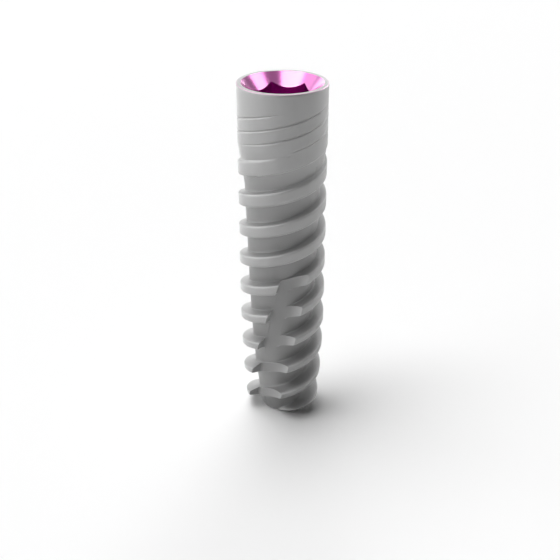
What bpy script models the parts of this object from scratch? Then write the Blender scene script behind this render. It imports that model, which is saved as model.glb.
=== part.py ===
"""A one-piece screw-form dental implant, turned and threaded from a titanium bar.

It stands on its flat foot at z = 0, with the platform rim at the top and its axis on +Z.
The front, with the cutting flute that shows, faces -Y.
"""

import math

import bmesh
import bpy
from mathutils import Matrix, Vector

MM = 0.001

# Overall size
PLATFORM_DIAMETER = 3.75 * MM
IMPLANT_LENGTH = 15.4 * MM
RIM_CHAMFER = 0.04 * MM

# Collar and core, heights counted down from the rim or up from the foot
COLLAR_DEPTH = 2.4 * MM
SHOULDER_DEPTH = 4.2 * MM
SHOULDER_CORE_DIAMETER = 3.22 * MM
NOSE_HEIGHT = 5.4 * MM
NOSE_CORE_DIAMETER = 2.84 * MM
FOOT_DIAMETER = 1.88 * MM
FOOT_CHAMFER = 0.05 * MM

# Two-start thread
THREAD_STARTS = 2
THREAD_SPACING = 1.4 * MM
FIRST_CREST_DEPTH = 3.583 * MM
CREST_TAPER_HEIGHT = 5.8 * MM
CREST_TAPER = 0.25 * MM
NOSE_ROUND_HEIGHT = 0.5 * MM
LAND_AT_COLLAR = 0.60 * MM
LAND_AT_FOOT = 0.22 * MM
UPPER_FLANK_AT_COLLAR = math.radians(12)
UPPER_FLANK_AT_FOOT = math.radians(10)
LOWER_FLANK_AT_COLLAR = math.radians(20)
LOWER_FLANK_AT_FOOT = math.radians(7)
SHORTEST_FLANK = 0.08 * MM

# Fine grooves round the collar, on the thread's own lead
GROOVE_STARTS = 5
GROOVE_TOP_DEPTH = 0.45 * MM
GROOVE_BOTTOM_DEPTH = 2.65 * MM
GROOVE_WIDTH = 0.16 * MM
GROOVE_CUT = 0.045 * MM
GROOVE_FADE_SHARE = 0.25
GROOVE_AZIMUTH = math.radians(180)
GROOVE_DEPTH_THERE = 2.57 * MM

# Cutting flutes at the nose: a radial wall, then a floor near the core that curves out to the crests
FLUTE_COUNT = 2
FLUTE_HEIGHT = 7.7 * MM
FLUTE_END_ROUND = 1.0 * MM
FLUTE_WALL_AZIMUTH = math.radians(198)
FLUTE_TWIST = math.radians(9.4) / MM
FLUTE_WIDTH_AT_FOOT = math.radians(62)
FLUTE_NARROWING = math.radians(3) / MM
FLUTE_FLOOR_AT_FOOT = 1.15 * MM
FLUTE_FLOOR_AT_TOP = 1.50 * MM
FLUTE_FLOOR_CURVE = 4
FLUTE_FILLET = 0.12 * MM
FLUTE_CUTTER_RADIUS = 3.2 * MM

# Connection inside the platform
LEAD_IN_DIAMETER = 3.40 * MM
LEAD_IN_ANGLE = math.radians(49.4)
HEX_ACROSS_FLATS = 2.44 * MM
HEX_DEPTH = 2.0 * MM
HEX_CORNER_AZIMUTH = math.radians(109.2)
LEAD_IN_OVERLAP = 0.08 * MM
GUIDE_DIAMETER = 1.9 * MM
GUIDE_DEPTH = 2.9 * MM
SCREW_BORE_DIAMETER = 1.46 * MM
SCREW_BORE_DEPTH = 6.4 * MM
DRILL_POINT_ANGLE = math.radians(59)

# Fineness of the mesh
STEPS_PER_TURN = 44
SOCKET_SEGMENTS = 48
GROOVE_STEPS_PER_TURN = 32
FLUTE_FLOOR_STEPS = 9
FLUTE_LEVELS = 22
OVERSHOOT = 0.5 * MM
MERGE_DISTANCE = 0.0001 * MM
SHARP_ANGLE = math.radians(32)

RIM_RADIUS = PLATFORM_DIAMETER / 2
LEAD = THREAD_STARTS * THREAD_SPACING
COLLAR_BOTTOM = IMPLANT_LENGTH - COLLAR_DEPTH

# Points across one ridge: share of the half land, share of the flank, share of the ridge height
RIDGE_POINTS = (
    (-1.0, -1.0, 0.0),
    (-1.0, -0.28, 0.76),
    (-0.7, 0.0, 1.0),
    (0.7, 0.0, 1.0),
    (1.0, 0.26, 0.80),
    (1.0, 0.62, 0.38),
    (1.0, 1.0, 0.0),
)


def clear_scene():
    for obj in list(bpy.data.objects):
        bpy.data.objects.remove(obj, do_unlink=True)


def titanium(name, colour, roughness):
    material = bpy.data.materials.new(name)
    material.use_nodes = True
    shader = material.node_tree.nodes["Principled BSDF"]
    shader.inputs["Base Color"].default_value = (*colour, 1.0)
    shader.inputs["Metallic"].default_value = 1.0
    shader.inputs["Roughness"].default_value = roughness
    return material


def object_from(bm, name, material):
    """Turns the bmesh into an object in the scene, with its faces pointing out."""
    bmesh.ops.recalc_face_normals(bm, faces=bm.faces)
    mesh = bpy.data.meshes.new(name)
    bm.to_mesh(mesh)
    bm.free()
    mesh.materials.append(material)
    obj = bpy.data.objects.new(name, mesh)
    bpy.context.scene.collection.objects.link(obj)
    return obj


def cutter_from(bm, name, material):
    cutter = object_from(bm, name, material)
    cutter.hide_render = True
    cutter.display_type = "WIRE"
    return cutter


def straight(low, high, low_value, high_value, place):
    """The value on a straight line between two places along the axis."""
    return low_value + (high_value - low_value) * (place - low) / (high - low)


def core_radius(z):
    """Radius of the body between the threads: collar, shoulder cone, slow taper, bowed nose."""
    shoulder_bottom = IMPLANT_LENGTH - SHOULDER_DEPTH
    if z >= COLLAR_BOTTOM:
        return RIM_RADIUS
    if z >= shoulder_bottom:
        return straight(shoulder_bottom, COLLAR_BOTTOM, SHOULDER_CORE_DIAMETER / 2, RIM_RADIUS, z)
    taper = straight(NOSE_HEIGHT, shoulder_bottom, NOSE_CORE_DIAMETER / 2, SHOULDER_CORE_DIAMETER / 2, z)
    if z >= NOSE_HEIGHT:
        return taper
    taper_at_foot = straight(
        NOSE_HEIGHT, shoulder_bottom, NOSE_CORE_DIAMETER / 2, SHOULDER_CORE_DIAMETER / 2, 0.0
    )
    bow = 1 - max(z, 0.0) / NOSE_HEIGHT
    return taper - (taper_at_foot - FOOT_DIAMETER / 2) * bow * bow


def crest_radius(z):
    """Radius of the thread crests: level with the collar, bowed in at the nose, rounded at the foot."""
    radius = RIM_RADIUS
    if z < CREST_TAPER_HEIGHT:
        bow = 1 - max(z, 0.0) / CREST_TAPER_HEIGHT
        radius -= CREST_TAPER * bow * bow
    if z < NOSE_ROUND_HEIGHT:
        foot = FOOT_DIAMETER / 2
        radius = foot + (radius - foot) * math.sin(max(z, 0.0) / NOSE_ROUND_HEIGHT * math.pi / 2)
    return radius


def half_land(z):
    return straight(0.0, COLLAR_BOTTOM, LAND_AT_FOOT, LAND_AT_COLLAR, z) / 2


def flank_length(z, angle):
    """How far a flank reaches along the axis: with the ridge's height, but never closed up."""
    height = max(RIM_RADIUS - core_radius(z), 0.0)
    return max(height * math.tan(angle), SHORTEST_FLANK)


def ridge_offset(land_share, flank_share, crest_z):
    """Place of a ridge point along the axis, counted from the middle of its crest."""
    if flank_share > 0:
        angle = straight(0.0, COLLAR_BOTTOM, UPPER_FLANK_AT_FOOT, UPPER_FLANK_AT_COLLAR, crest_z)
    else:
        angle = straight(0.0, COLLAR_BOTTOM, LOWER_FLANK_AT_FOOT, LOWER_FLANK_AT_COLLAR, crest_z)
    return land_share * half_land(crest_z) + flank_share * flank_length(crest_z, angle)


def thread_chain(bm, start_z):
    """One lead of the thread's outline, from foot to foot, each point marked with its place on the ridge."""
    marks = {name: bm.verts.layers.float.new(name) for name in ("land", "flank", "lift", "offset")}
    rows = []
    for start in range(THREAD_STARTS):
        crest_z = start_z + start * THREAD_SPACING
        rows += [(crest_z, *point) for point in RIDGE_POINTS]
        rows.append((crest_z, None, None, 0.0))
    rows.append((start_z + LEAD, *RIDGE_POINTS[0]))
    chain = []
    for crest_z, land_share, flank_share, lift in rows:
        valley = land_share is None
        nominal = THREAD_SPACING / 2 if valley else ridge_offset(land_share, flank_share, 0.0)
        vert = bm.verts.new((RIM_RADIUS, 0.0, crest_z + nominal))
        vert[marks["land"]] = 0.0 if valley else land_share
        vert[marks["flank"]] = 0.0 if valley else flank_share
        vert[marks["lift"]] = lift
        vert[marks["offset"]] = nominal
        chain.append(vert)
    edges = [bm.edges.new(pair) for pair in zip(chain, chain[1:])]
    return chain, edges, marks


def place_thread_points(bm, marks):
    """Moves each swept point to its ridge's true place and radius at that height."""
    for vert in bm.verts:
        crest_z = vert.co.z - vert[marks["offset"]]
        if vert[marks["land"]] == 0.0:
            z = vert.co.z
        else:
            z = crest_z + ridge_offset(vert[marks["land"]], vert[marks["flank"]], crest_z)
        core = core_radius(z)
        radius = core + vert[marks["lift"]] * (crest_radius(z) - core)
        azimuth = math.atan2(vert.co.y, vert.co.x)
        vert.co = (radius * math.cos(azimuth), radius * math.sin(azimuth), z)


def cut_level(bm, z, keep_above):
    """Cuts the mesh at a height, drops one side and returns the edges of the cut."""
    cut = bmesh.ops.bisect_plane(
        bm,
        geom=list(bm.verts) + list(bm.edges) + list(bm.faces),
        dist=MERGE_DISTANCE / 100,
        plane_co=(0, 0, z),
        plane_no=(0, 0, 1),
        clear_inner=keep_above,
        clear_outer=not keep_above,
    )
    return [item for item in cut["geom_cut"] if isinstance(item, bmesh.types.BMEdge)]


def lift_ring(bm, edges, z, radius):
    """Extrudes a round ring of edges to a new height and radius, and returns the new ring."""
    grown = bmesh.ops.extrude_edge_only(bm, edges=edges)["geom"]
    for vert in (item for item in grown if isinstance(item, bmesh.types.BMVert)):
        flat = Vector((vert.co.x, vert.co.y)).normalized() * radius
        vert.co = (flat.x, flat.y, z)
    return [item for item in grown if isinstance(item, bmesh.types.BMEdge)]


def make_body(material):
    """The turned and threaded blank: thread and core in one sweep, plain collar above, flat foot."""
    # The first crest is given on the left and the sweep starts on the right, half a turn away
    crest_on_right = IMPLANT_LENGTH - FIRST_CREST_DEPTH - LEAD / 2
    start_z = crest_on_right - LEAD * math.ceil(crest_on_right / LEAD + 1)
    turns = math.ceil((COLLAR_BOTTOM - start_z) / LEAD) + 1
    bm = bmesh.new()
    chain, edges, marks = thread_chain(bm, start_z)
    bmesh.ops.spin(
        bm,
        geom=chain + edges,
        cent=(0, 0, 0),
        axis=(0, 0, 1),
        dvec=(0, 0, LEAD / STEPS_PER_TURN),
        angle=2 * math.pi * turns,
        steps=STEPS_PER_TURN * turns,
        use_merge=False,
        use_duplicate=False,
    )
    place_thread_points(bm, marks)
    bmesh.ops.remove_doubles(bm, verts=bm.verts, dist=MERGE_DISTANCE)
    ring = cut_level(bm, FOOT_CHAMFER, keep_above=True)
    ring = lift_ring(bm, ring, 0.0, FOOT_DIAMETER / 2 - FOOT_CHAMFER)
    bmesh.ops.edgeloop_fill(bm, edges=ring)
    ring = cut_level(bm, COLLAR_BOTTOM, keep_above=False)
    ring = lift_ring(bm, ring, IMPLANT_LENGTH - RIM_CHAMFER, RIM_RADIUS)
    ring = lift_ring(bm, ring, IMPLANT_LENGTH, RIM_RADIUS - RIM_CHAMFER)
    bmesh.ops.edgeloop_fill(bm, edges=ring)
    return object_from(bm, "implant_body", material)


def make_groove_cutters(material):
    """Thin helical blades whose edge runs just under the collar's surface and lifts out at both ends."""
    bm = bmesh.new()
    top = IMPLANT_LENGTH - GROOVE_TOP_DEPTH
    bottom = IMPLANT_LENGTH - GROOVE_BOTTOM_DEPTH
    turn_share = (top - bottom) / LEAD
    steps = math.ceil(GROOVE_STEPS_PER_TURN * turn_share)
    known_z = IMPLANT_LENGTH - GROOVE_DEPTH_THERE
    first_azimuth = GROOVE_AZIMUTH + (bottom - known_z) / LEAD * 2 * math.pi
    fade = (top - bottom) * GROOVE_FADE_SHARE
    for start in range(GROOVE_STARTS):
        azimuth = first_azimuth + start * 2 * math.pi / GROOVE_STARTS
        section = (
            (RIM_RADIUS - GROOVE_CUT, 0.0),
            (RIM_RADIUS + GROOVE_CUT, -GROOVE_WIDTH),
            (RIM_RADIUS + OVERSHOOT / 2, 0.0),
            (RIM_RADIUS + GROOVE_CUT, GROOVE_WIDTH),
        )
        verts = [bm.verts.new((radius, 0.0, bottom + z)) for radius, z in section]
        face = bm.faces.new(verts)
        bmesh.ops.rotate(bm, verts=verts, cent=(0, 0, 0), matrix=Matrix.Rotation(azimuth, 3, "Z"))
        bmesh.ops.spin(
            bm,
            geom=[face],
            cent=(0, 0, 0),
            axis=(0, 0, 1),
            dvec=(0, 0, (top - bottom) / steps),
            angle=2 * math.pi * turn_share,
            steps=steps,
            use_merge=False,
            use_duplicate=False,
        )
    for vert in bm.verts:
        out = max(0.0, vert.co.z - (top - fade), bottom + fade - vert.co.z) / fade
        flat = Vector((vert.co.x, vert.co.y))
        flat = flat.normalized() * (flat.length + 2 * GROOVE_CUT * out)
        vert.co.x, vert.co.y = flat
    return cutter_from(bm, "collar_groove_cutters", material)


def flute_floor(z):
    """Radius at the foot of the flute's wall: near the core's, then out past the crests in a round end."""
    radius = straight(0.0, FLUTE_HEIGHT, FLUTE_FLOOR_AT_FOOT, FLUTE_FLOOR_AT_TOP, z)
    into_end = max(z - (FLUTE_HEIGHT - FLUTE_END_ROUND), 0.0) / FLUTE_END_ROUND
    rise = 1 - math.sqrt(max(1 - into_end * into_end, 0.0))
    return radius + (RIM_RADIUS + RIM_CHAMFER - radius) * rise


def flute_outline(z, foot_azimuth):
    """The flute's cross-section at one height, as radius and azimuth, from the wall to the other side."""
    floor = flute_floor(z)
    crest = max(crest_radius(max(z, NOSE_ROUND_HEIGHT)), floor)
    wall = foot_azimuth + FLUTE_TWIST * z
    far_side = wall + FLUTE_WIDTH_AT_FOOT - FLUTE_NARROWING * z
    near_side = wall + FLUTE_FILLET / floor
    outline = [(FLUTE_CUTTER_RADIUS, wall), (floor + FLUTE_FILLET, wall)]
    for step in range(FLUTE_FLOOR_STEPS + 1):
        share = step / FLUTE_FLOOR_STEPS
        radius = floor + (crest - floor) * share**FLUTE_FLOOR_CURVE
        outline.append((radius, near_side + (far_side - near_side) * share))
    outline.append((FLUTE_CUTTER_RADIUS, far_side + FLUTE_FILLET / floor))
    return [Vector((radius * math.cos(turn), radius * math.sin(turn), z)) for radius, turn in outline]


def make_flute_cutters(material):
    """One long cutter for each flute, extruded upwards level by level as its section turns."""
    bm = bmesh.new()
    corner = bm.verts.layers.int.new("corner")
    for index in range(FLUTE_COUNT):
        azimuth = FLUTE_WALL_AZIMUTH + index * 2 * math.pi / FLUTE_COUNT
        ring = [bm.verts.new(point) for point in flute_outline(-OVERSHOOT, azimuth)]
        for number, vert in enumerate(ring):
            vert[corner] = number
        face = bm.faces.new(ring)
        for level in range(FLUTE_LEVELS):
            end = [face, *face.edges, *face.verts]
            grown = bmesh.ops.extrude_face_region(bm, geom=end)["geom"]
            face = next(item for item in grown if isinstance(item, bmesh.types.BMFace))
            outline = flute_outline(straight(0, FLUTE_LEVELS, -OVERSHOOT, FLUTE_HEIGHT, level + 1), azimuth)
            for vert in face.verts:
                vert.co = outline[vert[corner]]
    return cutter_from(bm, "flute_cutters", material)


def make_bore_cutter(material):
    """One turned cutter for the lead-in cone, the guide and the blind screw bore."""
    lead_in = LEAD_IN_DIAMETER / 2
    slope = math.tan(LEAD_IN_ANGLE)
    inner = HEX_ACROSS_FLATS / 2 - LEAD_IN_OVERLAP
    guide = GUIDE_DIAMETER / 2
    bore = SCREW_BORE_DIAMETER / 2
    point = bore / math.tan(DRILL_POINT_ANGLE)
    outline = (
        (0.0, OVERSHOOT),
        (lead_in + OVERSHOOT / slope, OVERSHOOT),
        (inner, -(lead_in - inner) * slope),
        (guide, -(lead_in - inner) * slope),
        (guide, -GUIDE_DEPTH),
        (bore, -GUIDE_DEPTH - (guide - bore)),
        (bore, -SCREW_BORE_DEPTH),
        (0.0, -SCREW_BORE_DEPTH - point),
    )
    bm = bmesh.new()
    verts = [bm.verts.new((radius, 0.0, IMPLANT_LENGTH + z)) for radius, z in outline]
    edges = [bm.edges.new(pair) for pair in zip(verts, verts[1:])]
    bmesh.ops.spin(
        bm,
        geom=verts + edges,
        cent=(0, 0, 0),
        axis=(0, 0, 1),
        dvec=(0, 0, 0),
        angle=2 * math.pi,
        steps=SOCKET_SEGMENTS,
        use_merge=True,
        use_duplicate=False,
    )
    bmesh.ops.remove_doubles(bm, verts=bm.verts, dist=MERGE_DISTANCE)
    return cutter_from(bm, "bore_cutter", material)


def make_hex_cutter(material):
    """The six-sided socket below the lead-in cone."""
    corner = HEX_ACROSS_FLATS / 2 / math.cos(math.pi / 6)
    bm = bmesh.new()
    bmesh.ops.create_cone(
        bm,
        cap_ends=True,
        segments=6,
        radius1=corner,
        radius2=corner,
        depth=HEX_DEPTH + OVERSHOOT,
        matrix=Matrix.Translation((0, 0, IMPLANT_LENGTH + (OVERSHOOT - HEX_DEPTH) / 2)),
    )
    first = max(bm.verts, key=lambda vert: vert.co.x)
    turn = HEX_CORNER_AZIMUTH - math.atan2(first.co.y, first.co.x)
    bmesh.ops.rotate(bm, verts=bm.verts, cent=(0, 0, 0), matrix=Matrix.Rotation(turn, 3, "Z"))
    return cutter_from(bm, "hex_cutter", material)


def cut(body, cutter):
    boolean = body.modifiers.new(cutter.name, "BOOLEAN")
    boolean.operation = "DIFFERENCE"
    boolean.solver = "EXACT"
    boolean.material_mode = "TRANSFER"
    boolean.object = cutter


def main():
    clear_scene()
    blasted = titanium("blasted_titanium", (0.42, 0.42, 0.42), 0.6)
    anodised = titanium("anodised_titanium", (0.62, 0.12, 0.48), 0.22)
    body = make_body(blasted)
    for cutter in (
        make_groove_cutters(blasted),
        make_flute_cutters(blasted),
        make_bore_cutter(anodised),
        make_hex_cutter(anodised),
    ):
        cut(body, cutter)
    body.data.shade_smooth()
    body.data.set_sharp_from_angle(angle=SHARP_ANGLE)


main()
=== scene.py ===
import math

import bmesh
import bpy
from mathutils import Matrix, Vector


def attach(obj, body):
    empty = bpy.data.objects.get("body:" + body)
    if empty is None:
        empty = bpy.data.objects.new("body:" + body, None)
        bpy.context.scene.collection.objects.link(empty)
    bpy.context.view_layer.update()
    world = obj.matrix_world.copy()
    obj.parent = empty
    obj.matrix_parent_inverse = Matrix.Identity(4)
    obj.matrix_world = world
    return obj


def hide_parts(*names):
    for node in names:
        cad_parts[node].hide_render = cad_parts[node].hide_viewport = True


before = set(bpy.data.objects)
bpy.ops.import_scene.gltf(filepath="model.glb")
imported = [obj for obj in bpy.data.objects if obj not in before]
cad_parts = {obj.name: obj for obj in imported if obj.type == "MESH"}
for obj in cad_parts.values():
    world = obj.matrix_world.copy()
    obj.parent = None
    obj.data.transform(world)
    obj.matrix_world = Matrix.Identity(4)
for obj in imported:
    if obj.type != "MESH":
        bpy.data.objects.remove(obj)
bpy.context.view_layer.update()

MM = 0.001

# Turned shape
RIM_RADIUS = 1.875 * MM
LENGTH = 15.4 * MM
RIM_EDGE = 0.02 * MM
COLLAR_BOTTOM = LENGTH - 2.4 * MM
COLLAR_RINGS = 24
SHOULDER_BOTTOM = LENGTH - 4.2 * MM
SHOULDER_CORE = 1.61 * MM
NOSE_HEIGHT = 5.4 * MM
NOSE_CORE = 1.42 * MM
FOOT_RADIUS = 0.94 * MM
FOOT_EDGE = 0.05 * MM
# The rounded edges bend at this share of their size
EDGE_BEND = 0.3

# Two-start thread
STARTS = 2
SPACING = 1.4 * MM
LEAD = STARTS * SPACING
FIRST_CREST = LENGTH - 3.583 * MM
TAPER_HEIGHT = 5.8 * MM
TAPER = 0.25 * MM
NOSE_ROUND = 0.5 * MM
LAND_TOP = 0.60 * MM
LAND_FOOT = 0.22 * MM
UPPER_FLANK_TOP = math.radians(12)
UPPER_FLANK_FOOT = math.radians(10)
LOWER_FLANK_TOP = math.radians(20)
LOWER_FLANK_FOOT = math.radians(7)
SHORTEST_FLANK = 0.08 * MM
THREAD_STEPS = 132
VALLEY_POINTS = 3

# Across one ridge: share of the half land, share of the flank, share of the ridge's height
RIDGE = (
    (-1.0, -1.22, 0.0),
    (-1.0, -1.0, 0.035),
    (-1.0, -0.84, 0.13),
    (-1.0, -0.6, 0.38),
    (-1.0, -0.34, 0.68),
    (-1.0, -0.16, 0.86),
    (-0.93, -0.05, 0.955),
    (-0.78, 0.0, 0.995),
    (-0.4, 0.0, 1.0),
    (0.4, 0.0, 1.0),
    (0.78, 0.0, 0.995),
    (0.94, 0.05, 0.955),
    (1.0, 0.14, 0.88),
    (1.0, 0.34, 0.69),
    (1.0, 0.56, 0.45),
    (1.0, 0.76, 0.23),
    (1.0, 0.92, 0.09),
    (1.0, 1.06, 0.025),
    (1.0, 1.25, 0.0),
)

# Fine grooves on the collar
GROOVES = 5
GROOVE_TOP = LENGTH - 0.45 * MM
GROOVE_BOTTOM = LENGTH - 2.65 * MM
GROOVE_HALF_WIDTH = 0.075 * MM
GROOVE_CUT = 0.035 * MM
GROOVE_BACK = 0.25 * MM
GROOVE_LIFT = 2 * GROOVE_CUT
GROOVE_FADE = 0.25
GROOVE_STEPS = 72
GROOVE_KNOWN_Z = LENGTH - 2.57 * MM
GROOVE_KNOWN_AZIMUTH = math.pi
# One side of a groove's blade: out from the collar as a share of the cut, share of the half width
GROOVE_SIDE = ((-0.8, 0.25), (0.4, 1.0))

# Cutting flutes
FLUTES = 2
FLUTE_HEIGHT = 7.7 * MM
FLUTE_END = 1.0 * MM
FLUTE_WALL = math.radians(198)
FLUTE_TWIST = math.radians(9.4) / MM
FLUTE_WIDTH = math.radians(62)
FLUTE_NARROWING = math.radians(3) / MM
FLUTE_FLOOR_FOOT = 1.15 * MM
FLUTE_FLOOR_TOP = 1.50 * MM
FLUTE_CURVE = 4
FLUTE_FILLET = 0.12 * MM
FLUTE_FILLET_STEPS = 4
FLUTE_REACH = 3.2 * MM
FLUTE_FLOOR_STEPS = 26
FLUTE_LEVELS = 64

# Socket
MOUTH_RADIUS = 1.70 * MM
LEAD_IN_ANGLE = math.radians(49.4)
HEX_FLATS = 2.44 * MM
HEX_DEPTH = 2.0 * MM
HEX_CORNER = math.radians(109.2)
HEX_EDGE = 0.03 * MM
HEX_EDGE_STEPS = 3
LEAD_IN_OVERLAP = 0.08 * MM
GUIDE_RADIUS = 0.95 * MM
GUIDE_DEPTH = 2.9 * MM
BORE_RADIUS = 0.73 * MM
BORE_DEPTH = 6.4 * MM
DRILL_POINT = math.radians(59)
SOCKET_STEPS = 128
SCREW_PITCH = 0.35 * MM
SCREW_HALF_WIDTH = 0.42 * SCREW_PITCH
SCREW_CUT = 0.17 * MM
SCREW_TOP = 3.0 * MM
SCREW_BOTTOM = 6.1 * MM
SCREW_STEPS = 48
# Across the screw thread's cutter: out from the bore as a share of the cut, share of the half width
SCREW_SECTION = ((-0.3, -1.0), (1.0, -0.15), (1.0, 0.15), (-0.3, 1.0))

OVERSHOOT = 0.5 * MM
MERGE = 0.0001 * MM
SMOOTH_ANGLE = math.radians(34)

# Finishes
METAL = 1.0
CLOUD_SCALE = 1600.0
CLOUD_DETAIL = 3.0
PIT_DETAIL = 4.0
PIT_BREAKUP = 0.6
PIT_DEPTH = 0.012 * MM
# Painted shade between the threads: full at this radius and inwards, none at the collar's radius
PAINTED_SHADE_RADIUS = 1.5 * MM
# The platform's faces: how far out they start, and how far up a flat one and an edge one look at least
PLATFORM_INNER = 0.97 * MOUTH_RADIUS
PLATFORM_FLAT = 0.9
PLATFORM_EDGE = 0.2

# Camera
CAMERA_AIM = 0.4824
FOCAL_PIXELS = 923.6
PICTURE_PIXELS = 560
SENSOR = 36.0
CAMERA_FROM_RIM = 19.798 * RIM_RADIUS
CAMERA_DROP = 4.248 * RIM_RADIUS
CAMERA_RIGHT = 2.6 / FOCAL_PIXELS * CAMERA_FROM_RIM
NEAREST_SEEN = 0.1 * MM
FARTHEST_SEEN = 10000 * MM

# Floor
FLOOR_HALF = 400 * MM
FLOOR_COLOUR = (0.92, 0.92, 0.92)
FLOOR_ROUGHNESS = 0.9
FLOOR_GLOW = 0.02
WHITE = (1.0, 1.0, 1.0, 1.0)
BLACK = (0.0, 0.0, 0.0)
MATT_GLOW = {"Specular IOR Level": 0.0, "Emission Color": WHITE}

# Light tent: brightness of its low wall, what that gains to the right and behind, brightness above it,
# and the wall's share at each height, from level to straight up
TENT_LEVEL = 0.95
TENT_RIGHT = -1.55
TENT_BACK = 0.6
TENT_ABOVE = 0.36
TENT_HEIGHTS = ((0.0, 1.0), (0.33, 1.0), (0.45, 0.0), (1.0, 0.0))
TENT_RADIUS = 4500 * MM
TENT_STEPS = 5

LAMP_DISTANCE = 3000 * MM
# Name, then azimuth, elevation, width and height in degrees, brightness, lights the floor, shows in the metal
SOFTBOXES = (
    ("left_softbox", 177.0, 28.0, 60.0, 44.0, 1.2, True, True),
    ("back_softbox", 83.0, 40.0, 38.0, 40.0, 1.3, True, True),
    ("back_lamp", 88.0, 42.0, 33.0, 24.0, 2.5, True, False),
    ("overhead_lamp", 158.0, 71.0, 44.0, 30.0, 6.1, True, False),
    ("low_back_card", 88.0, 8.0, 26.0, 16.0, 5.5, False, True),
    ("low_right_card", 42.0, 4.0, 44.0, 10.0, 8.5, False, True),
    ("top_card", 118.0, 70.0, 56.0, 22.0, 2.9, False, True),
    ("front_card", 247.0, 66.0, 24.0, 12.0, 4.4, False, True),
    ("side_card", 203.0, 57.0, 28.0, 12.0, 4.4, False, True),
    ("right_card", 8.0, 44.0, 36.0, 22.0, 3.0, False, True),
)


def between(low, high, low_value, high_value, place):
    return low_value + (high_value - low_value) * (place - low) / (high - low)


# Shader nodes


def link(tree, source, target):
    tree.links.new(source, target)


def math_node(tree, operation, first, second):
    """A sum on two values, each a number or another node's output."""
    node = tree.nodes.new("ShaderNodeMath")
    node.operation = operation
    for socket, value in zip(node.inputs, (first, second)):
        if isinstance(value, float):
            socket.default_value = value
        else:
            link(tree, value, socket)
    return node.outputs[0]


def place_parts(tree):
    """The point's own place on its piece, whole and as X, Y and Z."""
    place = tree.nodes.new("ShaderNodeTexCoord").outputs["Object"]
    parts = tree.nodes.new("ShaderNodeSeparateXYZ")
    link(tree, place, parts.inputs[0])
    return place, parts.outputs


def background_rays(tree):
    """1 where the camera, a reflection or a clear piece looks at the background, else 0."""
    ray = tree.nodes.new("ShaderNodeLightPath").outputs
    seen = math_node(tree, "ADD", ray["Is Camera Ray"], ray["Is Glossy Ray"])
    return math_node(tree, "ADD", seen, ray["Is Transmission Ray"])


def new_material(name, colour, metallic, roughness, fixed=None):
    """A plain material, with any further fixed values of its shader."""
    material = bpy.data.materials.new(name)
    material.use_nodes = True
    shader = material.node_tree.nodes["Principled BSDF"]
    shader.inputs["Base Color"].default_value = (*colour, 1.0)
    shader.inputs["Metallic"].default_value = metallic
    shader.inputs["Roughness"].default_value = roughness
    for socket, value in (fixed or {}).items():
        shader.inputs[socket].default_value = value
    return material, material.node_tree, shader


# Finishes


def socketed_group(name, inputs, outputs):
    """An empty node group with these named inputs and outputs."""
    group = bpy.data.node_groups.new(name, "ShaderNodeTree")
    for label, kind, value in inputs:
        made = group.interface.new_socket(label, in_out="INPUT", socket_type=kind)
        made.default_value = value
    for label, kind in outputs:
        group.interface.new_socket(label, in_out="OUTPUT", socket_type=kind)
    start = group.nodes.new("NodeGroupInput")
    end = group.nodes.new("NodeGroupOutput")
    return group, start, end


def painted_shade_mask(group, parts):
    """Mask of painted shade: 0 at the collar's radius, rising to 1 deep between the threads."""
    across = math_node(group, "MULTIPLY", parts["X"], parts["X"])
    along = math_node(group, "MULTIPLY", parts["Y"], parts["Y"])
    depth = group.nodes.new("ShaderNodeMapRange")
    depth.inputs["From Min"].default_value = PAINTED_SHADE_RADIUS
    depth.inputs["From Max"].default_value = RIM_RADIUS
    depth.inputs["To Min"].default_value = 1.0
    depth.inputs["To Max"].default_value = 0.0
    from_axis = math_node(group, "POWER", math_node(group, "ADD", across, along), 0.5)
    link(group, from_axis, depth.inputs["Value"])
    return depth.outputs["Result"]


def metal_surface_group():
    """Tiny pits, a soft cloudiness and painted shade darkening the recesses, from the point's own place."""
    group, start, end = socketed_group(
        "metal_surface",
        (
            ("Colour", "NodeSocketColor", (0.4, 0.4, 0.4, 1.0)),
            ("Roughness", "NodeSocketFloat", 0.5),
            ("Cloud", "NodeSocketFloat", 0.1),
            ("Painted recess shade", "NodeSocketFloat", 0.0),
            ("Pit fineness", "NodeSocketFloat", 20000.0),
            ("Pit strength", "NodeSocketFloat", 0.3),
        ),
        (("Colour", "NodeSocketColor"), ("Roughness", "NodeSocketFloat"), ("Normal", "NodeSocketVector")),
    )
    place, parts = place_parts(group)
    cloud = group.nodes.new("ShaderNodeTexNoise")
    cloud.inputs["Scale"].default_value = CLOUD_SCALE
    cloud.inputs["Detail"].default_value = CLOUD_DETAIL
    link(group, place, cloud.inputs["Vector"])
    shift = math_node(group, "SUBTRACT", cloud.outputs["Fac"], 0.5)
    gain = math_node(group, "ADD", math_node(group, "MULTIPLY", shift, start.outputs["Cloud"]), 1.0)
    # Painted shade: the colour darkens towards the axis, deep between the threads
    painted_shade = math_node(group, "MULTIPLY", painted_shade_mask(group, parts), start.outputs["Painted recess shade"])
    cloud_and_painted_shade = math_node(group, "MULTIPLY", gain, math_node(group, "SUBTRACT", 1.0, painted_shade))
    tint = group.nodes.new("ShaderNodeVectorMath")
    tint.operation = "SCALE"
    link(group, start.outputs["Colour"], tint.inputs[0])
    link(group, cloud_and_painted_shade, tint.inputs["Scale"])
    link(group, tint.outputs[0], end.inputs["Colour"])
    link(group, math_node(group, "MULTIPLY", start.outputs["Roughness"], gain), end.inputs["Roughness"])
    pits = group.nodes.new("ShaderNodeTexNoise")
    pits.inputs["Detail"].default_value = PIT_DETAIL
    pits.inputs["Roughness"].default_value = PIT_BREAKUP
    link(group, place, pits.inputs["Vector"])
    link(group, start.outputs["Pit fineness"], pits.inputs["Scale"])
    bump = group.nodes.new("ShaderNodeBump")
    bump.inputs["Distance"].default_value = PIT_DEPTH
    link(group, start.outputs["Pit strength"], bump.inputs["Strength"])
    link(group, pits.outputs["Fac"], bump.inputs["Height"])
    link(group, bump.outputs["Normal"], end.inputs["Normal"])
    return group


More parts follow.
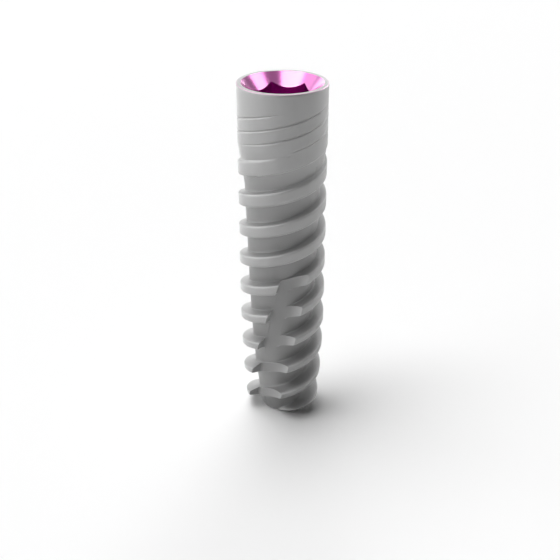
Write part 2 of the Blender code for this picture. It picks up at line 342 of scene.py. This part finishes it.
def new_finish(
    name, surface, colour, roughness, cloud, pit_fineness, pit_strength, painted_recess_shade=0.0, fixed=None
):
    """A metal that takes its colour, its painted shade in the recesses, roughness and pits from the shared
    surface group.
    """
    material, tree, shader = new_material(name, colour, METAL, roughness, fixed)
    node = tree.nodes.new("ShaderNodeGroup")
    node.node_tree = surface
    values = {
        "Colour": (*colour, 1.0),
        "Roughness": roughness,
        "Cloud": cloud,
        "Painted recess shade": painted_recess_shade,
        "Pit fineness": pit_fineness,
        "Pit strength": pit_strength,
    }
    for label, value in values.items():
        node.inputs[label].default_value = value
    for output, target in (("Colour", "Base Color"), ("Roughness", "Roughness"), ("Normal", "Normal")):
        link(tree, node.outputs[output], shader.inputs[target])
    return material


def blasted_titanium(surface):
    """Grey, pitted all over, with painted shade darkening it between the threads, and brighter where it is
    seen edge-on.
    """
    return new_finish(
        "blasted_titanium",
        surface,
        colour=(0.34, 0.34, 0.34),
        roughness=0.56,
        cloud=0.14,
        pit_fineness=22000.0,
        pit_strength=0.35,
        # painted shade: darkens the colour between the threads by up to this share
        painted_recess_shade=0.3,
        fixed={"Sheen Weight": 1.0, "Sheen Roughness": 0.5},
    )


def anodised_magenta(surface):
    """The lead-in cone, coloured by a clear oxide film that mirrors white."""
    return new_finish(
        "anodised_magenta",
        surface,
        colour=(0.60, 0.09, 0.43),
        roughness=0.24,
        cloud=0.08,
        pit_fineness=30000.0,
        pit_strength=0.04,
        fixed={"Coat Weight": 1.0, "Coat IOR": 2.15, "Coat Roughness": 0.2},
    )


def anodised_hexagon(surface):
    """The hexagon and the screw bore, a deeper magenta."""
    return new_finish(
        "anodised_hexagon",
        surface,
        colour=(0.72, 0.09, 0.62),
        roughness=0.22,
        cloud=0.08,
        pit_fineness=30000.0,
        pit_strength=0.05,
    )


def machined_rim(surface):
    """The platform, turned smooth and faintly pink."""
    return new_finish(
        "machined_rim",
        surface,
        colour=(0.54, 0.36, 0.47),
        roughness=0.4,
        cloud=0.06,
        pit_fineness=26000.0,
        pit_strength=0.06,
    )


# Working on meshes


def place_at(vert, radius, z):
    """Moves a point straight out or in to a radius, and to a height."""
    flat = Vector((vert.co.x, vert.co.y)).normalized() * radius
    vert.co = (flat.x, flat.y, z)


def sweep(bm, geom, rise, turns, steps, merge=False):
    """Sweeps geometry round the upright axis while it rises evenly."""
    bmesh.ops.spin(
        bm,
        geom=geom,
        cent=(0, 0, 0),
        axis=(0, 0, 1),
        dvec=(0, 0, rise / steps),
        angle=2 * math.pi * turns,
        steps=steps,
        use_merge=merge,
        use_duplicate=False,
    )


def cut_level(bm, z, keep_above):
    """Cuts the mesh at a height, drops one side and returns the edges of the cut."""
    cut = bmesh.ops.bisect_plane(
        bm,
        geom=list(bm.verts) + list(bm.edges) + list(bm.faces),
        dist=MERGE / 100,
        plane_co=(0, 0, z),
        plane_no=(0, 0, 1),
        clear_inner=keep_above,
        clear_outer=not keep_above,
    )
    return [item for item in cut["geom_cut"] if isinstance(item, bmesh.types.BMEdge)]


def lift_ring(bm, edges, z, radius):
    """Extrudes a round ring of edges to a new height and radius, and returns the new ring."""
    grown = bmesh.ops.extrude_edge_only(bm, edges=edges)["geom"]
    for vert in (item for item in grown if isinstance(item, bmesh.types.BMVert)):
        place_at(vert, radius, z)
    return [item for item in grown if isinstance(item, bmesh.types.BMEdge)]


def object_from(bm, name, material):
    """A piece with its place in its mesh and its faces pointing outwards."""
    bmesh.ops.recalc_face_normals(bm, faces=bm.faces)
    mesh = bpy.data.meshes.new(name)
    bm.to_mesh(mesh)
    bm.free()
    mesh.materials.append(material)
    obj = bpy.data.objects.new(name, mesh)
    bpy.context.scene.collection.objects.link(obj)
    return obj


# Thread, collar and foot


def core_radius(z):
    """Radius between the threads: collar, shoulder cone, slow taper, bowed nose."""
    if z >= COLLAR_BOTTOM:
        return RIM_RADIUS
    if z >= SHOULDER_BOTTOM:
        return between(SHOULDER_BOTTOM, COLLAR_BOTTOM, SHOULDER_CORE, RIM_RADIUS, z)
    taper = between(NOSE_HEIGHT, SHOULDER_BOTTOM, NOSE_CORE, SHOULDER_CORE, z)
    if z >= NOSE_HEIGHT:
        return taper
    taper_at_foot = between(NOSE_HEIGHT, SHOULDER_BOTTOM, NOSE_CORE, SHOULDER_CORE, 0.0)
    bow = 1 - max(z, 0.0) / NOSE_HEIGHT
    return taper - (taper_at_foot - FOOT_RADIUS) * bow * bow


def crest_radius(z):
    """Radius over the threads: straight, then tapered, then rounded off to the foot."""
    radius = RIM_RADIUS
    if z < TAPER_HEIGHT:
        bow = 1 - max(z, 0.0) / TAPER_HEIGHT
        radius -= TAPER * bow * bow
    if z < NOSE_ROUND:
        radius = FOOT_RADIUS + (radius - FOOT_RADIUS) * math.sin(max(z, 0.0) / NOSE_ROUND * math.pi / 2)
    return radius


def ridge_offset(land_share, flank_share, crest_z):
    """Place of a ridge point along the axis, counted from the middle of its crest."""
    half_land = between(0.0, COLLAR_BOTTOM, LAND_FOOT, LAND_TOP, crest_z) / 2
    if flank_share > 0:
        angle = between(0.0, COLLAR_BOTTOM, UPPER_FLANK_FOOT, UPPER_FLANK_TOP, crest_z)
    else:
        angle = between(0.0, COLLAR_BOTTOM, LOWER_FLANK_FOOT, LOWER_FLANK_TOP, crest_z)
    height = max(RIM_RADIUS - core_radius(crest_z), 0.0)
    flank = max(height * math.tan(angle), SHORTEST_FLANK)
    return land_share * half_land + flank_share * flank


def thread_chain(bm, start_z):
    """One lead of the thread's outline, each point marked with its place on the ridge."""
    marks = {name: bm.verts.layers.float.new(name) for name in ("land", "flank", "lift", "offset", "ridge")}
    chain = []

    def add(crest_z, offset, land, flank, lift, ridge):
        vert = bm.verts.new((RIM_RADIUS, 0.0, crest_z + offset))
        for name, value in zip(marks, (land, flank, lift, offset, ridge)):
            vert[marks[name]] = value
        chain.append(vert)

    for start in range(STARTS):
        crest_z = start_z + start * SPACING
        for land, flank, lift in RIDGE:
            add(crest_z, ridge_offset(land, flank, 0.0), land, flank, lift, 1.0)
        low = ridge_offset(*RIDGE[-1][:2], 0.0)
        high = SPACING + ridge_offset(*RIDGE[0][:2], 0.0)
        for point in range(VALLEY_POINTS):
            share = (point + 1) / (VALLEY_POINTS + 1)
            add(crest_z, low + (high - low) * share, 0.0, share, 0.0, 0.0)
    land, flank, lift = RIDGE[0]
    add(start_z + LEAD, ridge_offset(land, flank, 0.0), land, flank, lift, 1.0)
    edges = [bm.edges.new(pair) for pair in zip(chain, chain[1:])]
    return chain, edges, marks


def place_thread_points(bm, marks):
    """Moves each swept point to its ridge's true place and radius at that height."""
    last_land, last_flank = RIDGE[-1][:2]
    first_land, first_flank = RIDGE[0][:2]
    for vert in bm.verts:
        crest_z = vert.co.z - vert[marks["offset"]]
        if vert[marks["ridge"]] > 0.5:
            z = crest_z + ridge_offset(vert[marks["land"]], vert[marks["flank"]], crest_z)
        else:
            low = crest_z + ridge_offset(last_land, last_flank, crest_z)
            high = crest_z + SPACING + ridge_offset(first_land, first_flank, crest_z + SPACING)
            z = low + (high - low) * vert[marks["flank"]]
        core = core_radius(z)
        place_at(vert, core + vert[marks["lift"]] * (crest_radius(z) - core), z)


def threaded_blank(material):
    """Thread and core in one sweep, plain collar above, flat foot."""
    crest_on_right = FIRST_CREST - LEAD / 2
    start_z = crest_on_right - LEAD * math.ceil(crest_on_right / LEAD + 1)
    turns = math.ceil((COLLAR_BOTTOM - start_z) / LEAD) + 1
    bm = bmesh.new()
    chain, edges, marks = thread_chain(bm, start_z)
    sweep(bm, chain + edges, LEAD * turns, turns, THREAD_STEPS * turns)
    place_thread_points(bm, marks)
    bmesh.ops.remove_doubles(bm, verts=bm.verts, dist=MERGE)
    ring = cut_level(bm, FOOT_EDGE, keep_above=True)
    ring = lift_ring(bm, ring, FOOT_EDGE * EDGE_BEND, FOOT_RADIUS - FOOT_EDGE * EDGE_BEND)
    ring = lift_ring(bm, ring, 0.0, FOOT_RADIUS - FOOT_EDGE)
    bmesh.ops.edgeloop_fill(bm, edges=ring)
    ring = cut_level(bm, COLLAR_BOTTOM, keep_above=False)
    for level in range(COLLAR_RINGS):
        height = between(0, COLLAR_RINGS, COLLAR_BOTTOM, LENGTH - RIM_EDGE, level + 1)
        ring = lift_ring(bm, ring, height, RIM_RADIUS)
    ring = lift_ring(bm, ring, LENGTH - RIM_EDGE * EDGE_BEND, RIM_RADIUS - RIM_EDGE * EDGE_BEND)
    ring = lift_ring(bm, ring, LENGTH, RIM_RADIUS - RIM_EDGE)
    bmesh.ops.edgeloop_fill(bm, edges=ring)
    return object_from(bm, "titanium_implant", material)


# Cutters


def groove_cutters(material):
    """Thin helical blades that run just under the collar's surface and lift out at both ends."""
    side = [(RIM_RADIUS + out * GROOVE_CUT, share * GROOVE_HALF_WIDTH) for out, share in GROOVE_SIDE]
    section = [(RIM_RADIUS - GROOVE_CUT, 0.0)]
    section += [(radius, -z) for radius, z in side]
    section += [(RIM_RADIUS + GROOVE_BACK, 0.0)]
    section += side[::-1]
    rise = GROOVE_TOP - GROOVE_BOTTOM
    turns = rise / LEAD
    first_azimuth = GROOVE_KNOWN_AZIMUTH + (GROOVE_BOTTOM - GROOVE_KNOWN_Z) / LEAD * 2 * math.pi
    bm = bmesh.new()
    for groove in range(GROOVES):
        verts = [bm.verts.new((radius, 0.0, GROOVE_BOTTOM + z)) for radius, z in section]
        face = bm.faces.new(verts)
        azimuth = first_azimuth + groove * 2 * math.pi / GROOVES
        bmesh.ops.rotate(bm, verts=verts, cent=(0, 0, 0), matrix=Matrix.Rotation(azimuth, 3, "Z"))
        sweep(bm, [face], rise, turns, math.ceil(GROOVE_STEPS * turns))
    fade = rise * GROOVE_FADE
    for vert in bm.verts:
        out = max(0.0, vert.co.z - (GROOVE_TOP - fade), GROOVE_BOTTOM + fade - vert.co.z) / fade
        place_at(vert, vert.co.xy.length + GROOVE_LIFT * out, vert.co.z)
    return object_from(bm, "groove_cutters", material)


def flute_outline(z, foot_azimuth):
    """The flute's cross-section at one height: radial wall, fillet, and a floor that curves out."""
    floor = between(0.0, FLUTE_HEIGHT, FLUTE_FLOOR_FOOT, FLUTE_FLOOR_TOP, z)
    into_end = max(z - (FLUTE_HEIGHT - FLUTE_END), 0.0) / FLUTE_END
    rise = 1 - math.sqrt(max(1 - into_end * into_end, 0.0))
    floor += (RIM_RADIUS + RIM_EDGE - floor) * rise
    crest = max(crest_radius(max(z, NOSE_ROUND)), floor)
    wall = foot_azimuth + FLUTE_TWIST * z
    far_side = wall + FLUTE_WIDTH - FLUTE_NARROWING * z
    fillet = FLUTE_FILLET / floor
    outline = [(FLUTE_REACH, wall)]
    for step in range(FLUTE_FILLET_STEPS):
        bend = step / FLUTE_FILLET_STEPS * math.pi / 2
        outline.append((floor + FLUTE_FILLET * (1 - math.sin(bend)), wall + fillet * (1 - math.cos(bend))))
    near_side = wall + fillet
    for step in range(FLUTE_FLOOR_STEPS + 1):
        share = step / FLUTE_FLOOR_STEPS
        radius = floor + (crest - floor) * share**FLUTE_CURVE
        outline.append((radius, near_side + (far_side - near_side) * share))
    outline.append((FLUTE_REACH, far_side + fillet))
    return [Vector((radius * math.cos(turn), radius * math.sin(turn), z)) for radius, turn in outline]


def flute_cutters(material):
    """One long cutter for each flute, extruded upwards level by level as its section turns."""
    bm = bmesh.new()
    corner = bm.verts.layers.int.new("corner")
    for index in range(FLUTES):
        azimuth = FLUTE_WALL + index * 2 * math.pi / FLUTES
        ring = [bm.verts.new(point) for point in flute_outline(-OVERSHOOT, azimuth)]
        for number, vert in enumerate(ring):
            vert[corner] = number
        face = bm.faces.new(ring)
        for level in range(FLUTE_LEVELS):
            end = [face, *face.edges, *face.verts]
            grown = bmesh.ops.extrude_face_region(bm, geom=end)["geom"]
            face = next(item for item in grown if isinstance(item, bmesh.types.BMFace))
            height = between(0, FLUTE_LEVELS, -OVERSHOOT, FLUTE_HEIGHT, level + 1)
            outline = flute_outline(height, azimuth)
            for vert in face.verts:
                vert.co = outline[vert[corner]]
    return object_from(bm, "flute_cutters", material)


def bore_cutter(material):
    """Lead-in cone, guide and blind screw bore in one turned cutter."""
    slope = math.tan(LEAD_IN_ANGLE)
    inner = HEX_FLATS / 2 - LEAD_IN_OVERLAP
    lead_in_bottom = LENGTH - (MOUTH_RADIUS - inner) * slope
    step = GUIDE_RADIUS - BORE_RADIUS
    outline = (
        (0.0, LENGTH + OVERSHOOT),
        (MOUTH_RADIUS + OVERSHOOT / slope, LENGTH + OVERSHOOT),
        (inner, lead_in_bottom),
        (GUIDE_RADIUS, lead_in_bottom),
        (GUIDE_RADIUS, LENGTH - GUIDE_DEPTH),
        (BORE_RADIUS, LENGTH - GUIDE_DEPTH - step),
        (BORE_RADIUS, LENGTH - BORE_DEPTH),
        (0.0, LENGTH - BORE_DEPTH - BORE_RADIUS / math.tan(DRILL_POINT)),
    )
    bm = bmesh.new()
    verts = [bm.verts.new((radius, 0.0, z)) for radius, z in outline]
    edges = [bm.edges.new(pair) for pair in zip(verts, verts[1:])]
    sweep(bm, verts + edges, 0.0, 1, SOCKET_STEPS, merge=True)
    bmesh.ops.remove_doubles(bm, verts=bm.verts, dist=MERGE)
    return object_from(bm, "bore_cutter", material)


def hex_cutter(material):
    """The six-sided socket below the lead-in cone, its upright edges a little rounded."""
    corner = HEX_FLATS / 2 / math.cos(math.pi / 6)
    bm = bmesh.new()
    bmesh.ops.create_cone(
        bm,
        cap_ends=True,
        segments=6,
        radius1=corner,
        radius2=corner,
        depth=HEX_DEPTH + OVERSHOOT,
        matrix=Matrix.Translation((0, 0, LENGTH + (OVERSHOOT - HEX_DEPTH) / 2)),
    )
    first = max(bm.verts, key=lambda vert: vert.co.x)
    turn = HEX_CORNER - math.atan2(first.co.y, first.co.x)
    bmesh.ops.rotate(bm, verts=bm.verts, cent=(0, 0, 0), matrix=Matrix.Rotation(turn, 3, "Z"))
    upright = [edge for edge in bm.edges if abs(edge.verts[0].co.z - edge.verts[1].co.z) > OVERSHOOT]
    bmesh.ops.bevel(
        bm,
        geom=upright,
        offset=HEX_EDGE,
        offset_type="OFFSET",
        segments=HEX_EDGE_STEPS,
        profile=0.5,
        affect="EDGES",
        material=-1,
    )
    return object_from(bm, "hex_cutter", material)


def screw_cutter(material):
    """A helical V that cuts the fine thread of the screw bore."""
    bm = bmesh.new()
    rise = SCREW_BOTTOM - SCREW_TOP
    turns = rise / SCREW_PITCH
    bottom = LENGTH - SCREW_BOTTOM
    verts = [
        bm.verts.new((BORE_RADIUS + out * SCREW_CUT, 0.0, bottom + share * SCREW_HALF_WIDTH))
        for out, share in SCREW_SECTION
    ]
    face = bm.faces.new(verts)
    sweep(bm, [face], rise, turns, math.ceil(SCREW_STEPS * turns))
    return object_from(bm, "screw_cutter", material)


# The implant


def carve(body, cutters):
    """Cuts every cutter out of the body for good, and removes the cutters."""
    for cutter in cutters:
        boolean = body.modifiers.new(cutter.name, "BOOLEAN")
        boolean.operation = "DIFFERENCE"
        boolean.solver = "EXACT"
        boolean.material_mode = "TRANSFER"
        boolean.object = cutter
    view = bpy.context.evaluated_depsgraph_get()
    finished = bpy.data.meshes.new_from_object(body.evaluated_get(view), depsgraph=view)
    body.modifiers.clear()
    body.data = finished
    for cutter in cutters:
        bpy.data.objects.remove(cutter, do_unlink=True)


def dress_rim(body, machined):
    """Gives the flat platform and its edge the machined finish."""
    body.data.materials.append(machined)
    slot = len(body.data.materials) - 1
    for face in body.data.polygons:
        out = face.center.xy.length
        on_top = face.center.z > LENGTH - RIM_EDGE and out > PLATFORM_INNER
        flat = face.normal.z > PLATFORM_FLAT
        edge = face.normal.z > PLATFORM_EDGE and out > RIM_RADIUS - RIM_EDGE
        if on_top and (flat or edge):
            face.material_index = slot


def make_implant():
    surface = metal_surface_group()
    blasted = blasted_titanium(surface)
    anodised = anodised_magenta(surface)
    hexagon = anodised_hexagon(surface)
    body = threaded_blank(blasted)
    carve(
        body,
        (
            groove_cutters(blasted),
            flute_cutters(blasted),
            bore_cutter(anodised),
            hex_cutter(hexagon),
            screw_cutter(hexagon),
        ),
    )
    dress_rim(body, machined_rim(surface))
    body.data.shade_smooth()
    body.data.set_sharp_from_angle(angle=SMOOTH_ANGLE)
    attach(body, "root")
    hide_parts("implant_body")


# Camera, floor and light


def make_camera():
    """The photograph's viewpoint, looking down at the implant from in front."""
    camera = bpy.data.objects.new("photo_camera", bpy.data.cameras.new("photo_camera"))
    bpy.context.scene.collection.objects.link(camera)
    camera.data.sensor_width = SENSOR
    camera.data.lens = FOCAL_PIXELS / PICTURE_PIXELS * SENSOR
    camera.data.clip_start = NEAREST_SEEN
    camera.data.clip_end = FARTHEST_SEEN
    across = math.cos(CAMERA_AIM)
    down = math.sin(CAMERA_AIM)
    camera.location = (
        -CAMERA_RIGHT,
        -CAMERA_FROM_RIM * across - CAMERA_DROP * down,
        LENGTH + CAMERA_FROM_RIM * down - CAMERA_DROP * across,
    )
    camera.rotation_euler = (math.pi / 2 - CAMERA_AIM, 0.0, 0.0)
    bpy.context.scene.camera = camera


def make_floor():
    """A plain pale floor, a little lighter to the camera and in reflections."""
    bm = bmesh.new()
    bmesh.ops.create_grid(bm, x_segments=1, y_segments=1, size=FLOOR_HALF)
    material, tree, shader = new_material("pale_floor", FLOOR_COLOUR, 0.0, FLOOR_ROUGHNESS, MATT_GLOW)
    glow = math_node(tree, "MULTIPLY", background_rays(tree), FLOOR_GLOW)
    link(tree, glow, shader.inputs["Emission Strength"])
    floor = object_from(bm, "floor", material)


def fade_with_height(tree, height):
    """1 on the tent's low wall, falling to 0 above it."""
    node = tree.nodes.new("ShaderNodeValToRGB")
    link(tree, height, node.inputs["Fac"])
    ramp = node.color_ramp
    ramp.elements[0].position = TENT_HEIGHTS[0][0]
    ramp.elements[1].position = TENT_HEIGHTS[-1][0]
    for position, _ in TENT_HEIGHTS[1:-1]:
        ramp.elements.new(position)
    for element, (_, value) in zip(ramp.elements, TENT_HEIGHTS):
        element.color = (value, value, value, 1.0)
    return node.outputs["Color"]


def make_tent():
    """A round light tent that only reflections see, brightest low down behind and to the left."""
    bm = bmesh.new()
    bmesh.ops.create_icosphere(bm, subdivisions=TENT_STEPS, radius=TENT_RADIUS)
    material, tree, shader = new_material("light_tent", BLACK, 0.0, 1.0, MATT_GLOW)
    _, parts = place_parts(tree)
    sideways = math_node(tree, "MULTIPLY", parts["X"], TENT_RIGHT / TENT_RADIUS)
    depth = math_node(tree, "MULTIPLY", parts["Y"], TENT_BACK / TENT_RADIUS)
    walls = math_node(tree, "ADD", math_node(tree, "ADD", sideways, depth), TENT_LEVEL)
    on_wall = fade_with_height(tree, math_node(tree, "DIVIDE", parts["Z"], TENT_RADIUS))
    low = math_node(tree, "MULTIPLY", math_node(tree, "MAXIMUM", walls, 0.0), on_wall)
    above = math_node(tree, "MULTIPLY", math_node(tree, "SUBTRACT", 1.0, on_wall), TENT_ABOVE)
    link(tree, math_node(tree, "ADD", low, above), shader.inputs["Emission Strength"])
    material.cycles.emission_sampling = "NONE"
    tent = object_from(bm, "light_tent", material)
    tent.visible_camera = False
    tent.visible_diffuse = False
    tent.visible_shadow = False


def soft_lamp(name, azimuth, elevation, wide, tall, brightness, on_floor, in_metal):
    """An area lamp that looks at the middle of the implant, placed and sized by angles in degrees."""
    azimuth, elevation, wide, tall = (math.radians(angle) for angle in (azimuth, elevation, wide, tall))
    across = math.cos(elevation)
    away = Vector((math.cos(azimuth) * across, math.sin(azimuth) * across, math.sin(elevation)))
    data = bpy.data.lights.new(name, "AREA")
    data.shape = "RECTANGLE"
    data.size = 2 * LAMP_DISTANCE * math.tan(wide / 2)
    data.size_y = 2 * LAMP_DISTANCE * math.tan(tall / 2)
    data.energy = brightness * math.pi * data.size * data.size_y
    lamp = bpy.data.objects.new(name, data)
    lamp.location = Vector((0.0, 0.0, LENGTH / 2)) + away * LAMP_DISTANCE
    lamp.rotation_euler = away.to_track_quat("Z", "Y").to_euler()
    lamp.visible_camera = False
    lamp.visible_diffuse = on_floor
    lamp.visible_glossy = in_metal
    bpy.context.scene.collection.objects.link(lamp)


def make_world():
    """A plain white background that lights nothing."""
    world = bpy.data.worlds.new("studio")
    world.use_nodes = True
    tree = world.node_tree
    background = tree.nodes["Background"]
    background.inputs["Color"].default_value = WHITE
    link(tree, background_rays(tree), background.inputs["Strength"])
    world.cycles.sampling_method = "NONE"
    bpy.context.scene.world = world


def main():
    for obj in [item for item in bpy.data.objects if item.type in {"CAMERA", "LIGHT"}]:
        bpy.data.objects.remove(obj, do_unlink=True)
    bpy.context.scene.view_settings.view_transform = "Standard"
    make_implant()
    make_camera()
    make_floor()
    make_tent()
    make_world()
    for lamp in SOFTBOXES:
        soft_lamp(*lamp)


main()
